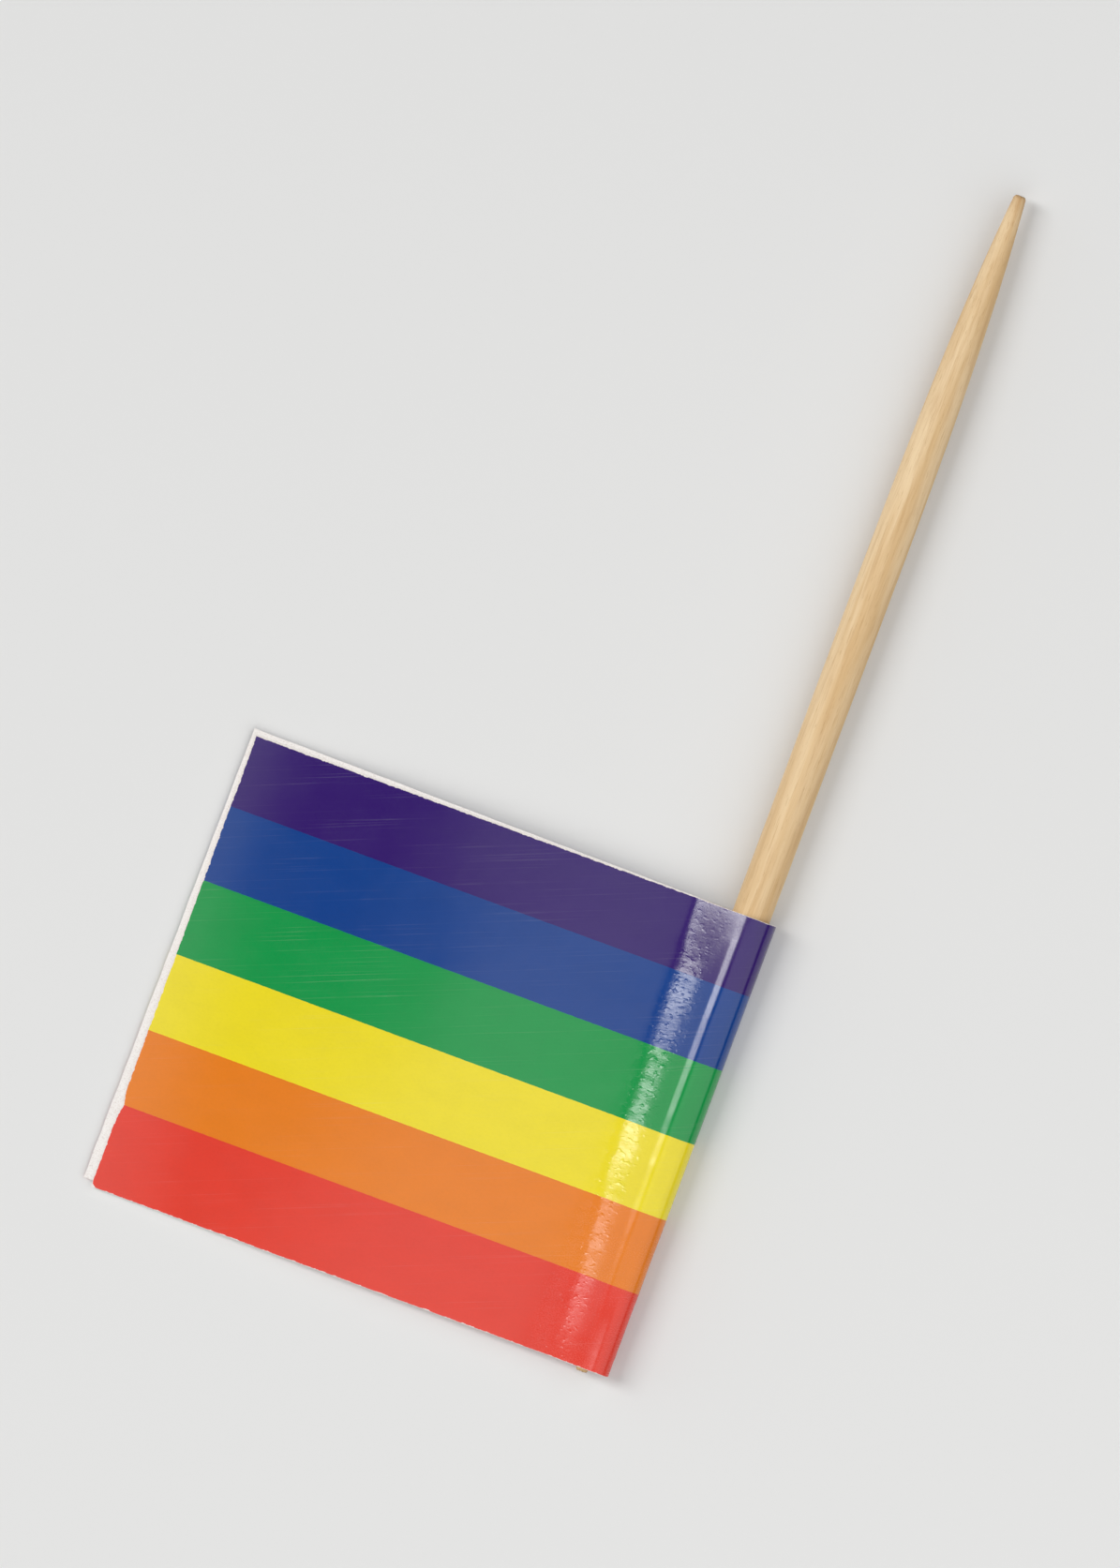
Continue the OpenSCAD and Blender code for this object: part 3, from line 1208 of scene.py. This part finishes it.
        mesh = bpy.data.meshes.new("folded_flag")
        corners = np.concatenate([outer.reshape(-1, 3), inner.reshape(-1, 3)])
        mesh.from_pydata(corners.tolist(), [], faces.tolist())
        on_inside = np.zeros(len(faces), dtype=np.int32)
        on_inside[len(printed):] = 1
        mesh.materials.append(self.print.material(self.strip(flat), self.height))
        mesh.materials.append(self.inside.material())
        mesh.polygons.foreach_set("material_index", on_inside)
        mesh.polygons.foreach_set("use_smooth", np.ones(len(faces), dtype=bool))
        self._write_map(mesh, flat)
        self._write_cuts(mesh, flat)
        mesh.update()
        return mesh

    @staticmethod
    def strip(flat: np.ndarray) -> float:
        """Flat length of the strip, from one free edge round the fold to the other."""
        return float(flat[..., 0].max() - flat[..., 0].min())

    def _write_map(self, mesh: bpy.types.Mesh, flat: np.ndarray) -> None:
        """Writes the strip's own map, which goes from 0 to 1 along it and up it.

        Args:
            mesh: The mesh.
            flat: Flat place of each of its outer points.
        """
        places = flat.reshape(-1, 2).copy()
        places[:, 0] = (places[:, 0] - places[:, 0].min()) / self.strip(flat)
        places[:, 1] /= self.height
        corner = np.zeros(len(mesh.loops), dtype=np.int32)
        mesh.loops.foreach_get("vertex_index", corner)
        layer = mesh.uv_layers.new(name=self.MAP)
        layer.data.foreach_set("uv", places[corner % len(places)].astype(np.float32).ravel())

    def _write_cuts(self, mesh: bpy.types.Mesh, flat: np.ndarray) -> None:
        """Makes the edges along the cuts sharp, and notes each point's distance from the nearest cut.

        Args:
            mesh: The mesh.
            flat: Flat place of each of its outer points.
        """
        rows, stations = flat.shape[:2]
        ends = np.minimum(flat[..., 0] - flat[:, :1, 0], flat[:, -1:, 0] - flat[..., 0])
        reach = np.minimum(ends, np.minimum(flat[..., 1], self.height - flat[..., 1]))
        layer = mesh.attributes.new(self.CUT, "FLOAT", "POINT")
        layer.data.foreach_set("value", np.tile(reach.ravel() / MM, 2).astype(np.float32))

        on_rim = np.ones((rows, stations), dtype=bool)
        on_rim[1:-1, 1:-1] = False
        on_rim = np.tile(on_rim.ravel(), 2)
        pairs = np.zeros(2 * len(mesh.edges), dtype=np.int32)
        mesh.edges.foreach_get("vertices", pairs)
        sharp = on_rim[pairs].reshape(-1, 2).all(axis=1)
        layer = mesh.attributes.new("sharp_edge", "BOOLEAN", "EDGE")
        layer.data.foreach_set("value", sharp)

    def build(self) -> bpy.types.Object:
        """Builds and dresses the flag.

        Returns:
            The flag, which stands for its plain solid.
        """
        outer, inner, flat = self._surfaces()
        piece = placed("folded_flag", self._mesh(outer, inner, flat))
        log.info("strip lies flat at %.2f by %.2f mm", self.strip(flat) / MM, self.height / MM)
        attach(piece, BODY)
        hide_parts("flag")
        return piece


@dataclass(frozen=True)
class SoftBox:
    """A soft box whose plane faces the object. Sizes are in metres, and angles in degrees.

    lean is counted from straight above, towards the free edge of the flag. radiance is how bright the
    face is, where 1 is white. shift moves the box in its plane, along its width and its length, and
    spin turns it there.
    """

    name: str
    lean: float
    distance: float
    size: Pair
    radiance: float
    shift: Pair = (0.0, 0.0)
    spin: float = 0.0

    def hang(self) -> None:
        """Adds the lamp."""
        light = bpy.data.lights.new(self.name, "AREA")
        light.shape = "RECTANGLE"
        light.size, light.size_y = self.size
        light.energy = self.radiance * math.pi * self.size[0] * self.size[1]
        lean, spin = math.radians(self.lean), math.radians(self.spin)
        turn = Matrix.Rotation(lean, 3, "Y") @ Matrix.Rotation(spin, 3, "Z")
        lamp = placed(self.name, light)
        lamp.location = turn @ Vector((*self.shift, self.distance))
        lamp.rotation_euler = turn.to_euler()


@dataclass(frozen=True)
class Studio:
    """The pale table, the soft light and the camera straight above. Sizes are in metres."""

    table: Colour = srgb(228, 228, 227)
    table_size: float = 3.0
    table_roughness: float = 0.7
    table_specular: float = 0.2
    roll: float = math.radians(200.5)
    camera_height: float = 0.7
    margin: float = 1.17
    picture: tuple[int, int] = (1195, 1673)
    sensor: float = 36.0
    sky: float = 0.05
    boxes: tuple[SoftBox, ...] = (
        SoftBox("key_box", lean=37, distance=0.8, size=(0.46, 0.21), radiance=11.0, shift=(0.0, -0.06)),
        SoftBox("ceiling_panel", lean=0, distance=0.41, size=(1.4, 1.2), radiance=1.15,
                shift=(-0.685, 0.0), spin=-28),
        SoftBox("side_panel", lean=72, distance=0.9, size=(0.55, 0.9), radiance=1.0))

    def _floor(self) -> None:
        """Lays the table top."""
        half = self.table_size / 2
        mesh = bpy.data.meshes.new("table_top")
        mesh.from_pydata([(-half, -half, 0), (half, -half, 0), (half, half, 0), (-half, half, 0)],
                         [], [(0, 1, 2, 3)])
        material, tree = shader("Table")
        tree.surface({"Base Color": self.table, "Roughness": self.table_roughness,
                      "Specular IOR Level": self.table_specular})
        mesh.materials.append(material)
        placed("table_top", mesh)

    def _world(self) -> None:
        """Fills the room with even light."""
        world = bpy.data.worlds.new("room")
        world.use_nodes = True
        background = world.node_tree.nodes["Background"]
        background.inputs["Color"].default_value = (1.0, 1.0, 1.0, 1.0)
        background.inputs["Strength"].default_value = self.sky
        bpy.context.scene.world = world

    def _camera(self) -> None:
        """Puts the camera straight above, turned as in the photograph."""
        turn = Euler((0, 0, self.roll))
        right, up = turn.to_matrix() @ Vector((1, 0, 0)), turn.to_matrix() @ Vector((0, 1, 0))
        corners = []
        for node in ("pick", "flag"):
            low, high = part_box(node)
            corners += [Vector((x, y, 0)) for x in (low.x, high.x) for y in (low.y, high.y)]
        wide, tall = [c.dot(right) for c in corners], [c.dot(up) for c in corners]
        middle = right * (max(wide) + min(wide)) / 2 + up * (max(tall) + min(tall)) / 2
        share = self.picture[0] / self.picture[1]
        view = max(max(tall) - min(tall), (max(wide) - min(wide)) / share) * self.margin

        camera = bpy.data.cameras.new("camera")
        camera.sensor_width = self.sensor
        camera.lens = self.sensor * self.camera_height / view
        holder = placed("camera", camera)
        holder.location = middle + Vector((0, 0, self.camera_height))
        holder.rotation_euler = turn
        bpy.context.scene.camera = holder

    def build(self) -> None:
        """Sets up the table, the light and the camera."""
        self._floor()
        self._world()
        for box in self.boxes:
            box.hang()
        self._camera()
        bpy.context.scene.view_settings.view_transform = "Standard"


def main() -> None:
    """Builds the pick, the flag and the studio, and logs the vertices and faces of both pieces."""
    logging.basicConfig(level=logging.INFO, format="%(name)s: %(message)s")
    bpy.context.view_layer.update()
    pick = TurnedPick()
    for part in (pick, FoldedFlag(pick)):
        piece = part.build()
        mesh = piece.data
        log.info("%s: %d vertices, %d faces", piece.name, len(mesh.vertices), len(mesh.polygons))
    Studio().build()


if __name__ == "__main__":
    main()
